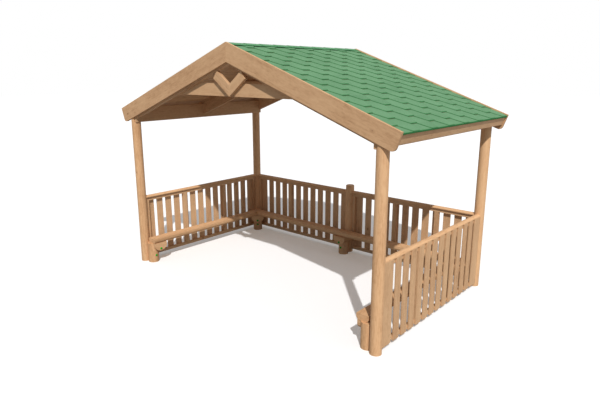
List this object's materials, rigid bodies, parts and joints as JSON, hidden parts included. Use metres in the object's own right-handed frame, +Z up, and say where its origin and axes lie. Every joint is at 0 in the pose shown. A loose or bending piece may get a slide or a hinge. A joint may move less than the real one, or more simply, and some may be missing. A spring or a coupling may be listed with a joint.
{
  "type": "garden gazebo",
  "caption": "Open timber garden gazebo with round posts, a gable roof in green felt shingles, slatted fences round the sides and back and split-log benches inside.",
  "frame": {"origin": "on the ground, at the centre of the roof's plan", "axes": "+X along the open front to the right as seen from in front, +Y from the open front to the back, +Z up"},
  "size_m": [4.678, 2.556, 3.152],
  "materials": {
    "round_timber": "smooth round pine",
    "sawn_timber": "planed pine",
    "green_shingles": "matt mineral felt",
    "green_plastic": "gloss"
  },
  "bodies": {
    "root": {"front_left_post": "round_timber", "front_right_post": "round_timber", "back_left_post": "round_timber", "back_right_post": "round_timber", "back_middle_post": "round_timber", "front_left_bargeboard": "sawn_timber", "front_right_bargeboard": "sawn_timber", "back_left_bargeboard": "sawn_timber", "back_right_bargeboard": "sawn_timber", "front_left_rafter": "sawn_timber", "front_right_rafter": "sawn_timber", "middle_left_rafter": "sawn_timber", "middle_right_rafter": "sawn_timber", "back_left_rafter": "sawn_timber", "back_right_rafter": "sawn_timber", "collar_ties": "sawn_timber", "front_v_brace": "sawn_timber", "back_v_brace": "sawn_timber", "left_wall_plate": "sawn_timber", "right_wall_plate": "sawn_timber", "left_roof_deck": "sawn_timber", "right_roof_deck": "sawn_timber", "left_fascia": "sawn_timber", "right_fascia": "sawn_timber", "left_shingles": "green_shingles", "right_shingles": "green_shingles", "ridge_cap": "green_shingles", "left_fence": "sawn_timber", "right_fence": "sawn_timber", "back_left_fence": "sawn_timber", "back_right_fence": "sawn_timber", "left_cap_rail": "sawn_timber", "right_cap_rail": "sawn_timber", "back_left_cap_rail": "sawn_timber", "back_right_cap_rail": "sawn_timber", "left_seat": "sawn_timber", "right_seat": "sawn_timber", "back_seat": "sawn_timber", "front_left_bearer": "sawn_timber", "front_right_bearer": "sawn_timber", "back_left_bearer": "sawn_timber", "back_right_bearer": "sawn_timber", "back_middle_bearer": "sawn_timber", "bench_legs": "round_timber", "bolt_caps": "green_plastic"}
  },
  "joints": []
}
